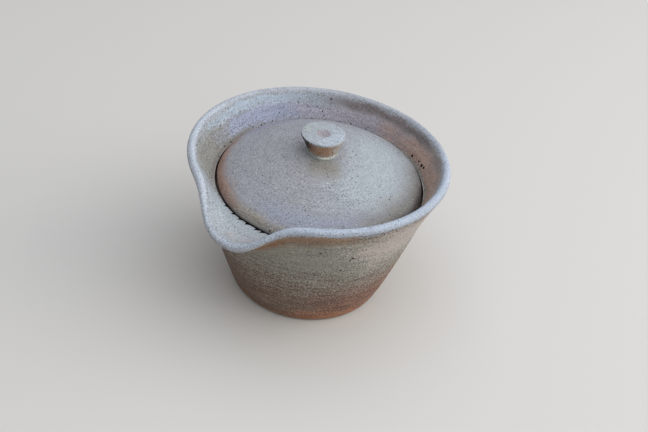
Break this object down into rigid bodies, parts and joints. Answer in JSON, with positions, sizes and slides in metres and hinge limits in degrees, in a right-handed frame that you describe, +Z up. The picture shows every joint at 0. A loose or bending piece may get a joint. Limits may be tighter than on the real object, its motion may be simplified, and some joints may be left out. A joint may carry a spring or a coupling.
{
  "type": "shiboridashi teapot",
  "caption": "Small handleless stoneware teapot with a flared collar, a pulled pouring lip and a loose domed lid with a flared knob.",
  "frame": {"origin": "middle of the flat foot, on the surface the pot stands on", "axes": "+Z up along the pot's turning axis; the pouring lip points towards -Y; +X is to the right seen from the lip"},
  "size_m": [0.1089, 0.1145, 0.0746],
  "materials": {
    "bowl_stoneware": "unglazed wood-fired stoneware, dry and slightly gritty, grey ash haze over brown and orange flashing",
    "lid_stoneware": "unglazed wood-fired stoneware, dry grey ash haze with a brown edge",
    "knob_stoneware": "unglazed wood-fired stoneware, pale grey top over an orange-brown flare"
  },
  "bodies": {
    "bowl": {"bowl": "bowl_stoneware"},
    "lid": {"lid": "lid_stoneware", "knob": "knob_stoneware"}
  },
  "joints": [
    {"name": "lid_lift", "type": "slide", "parent": "bowl", "child": "lid", "axis": [0, 0, 1], "range_m": [0, 0.08]}
  ]
}
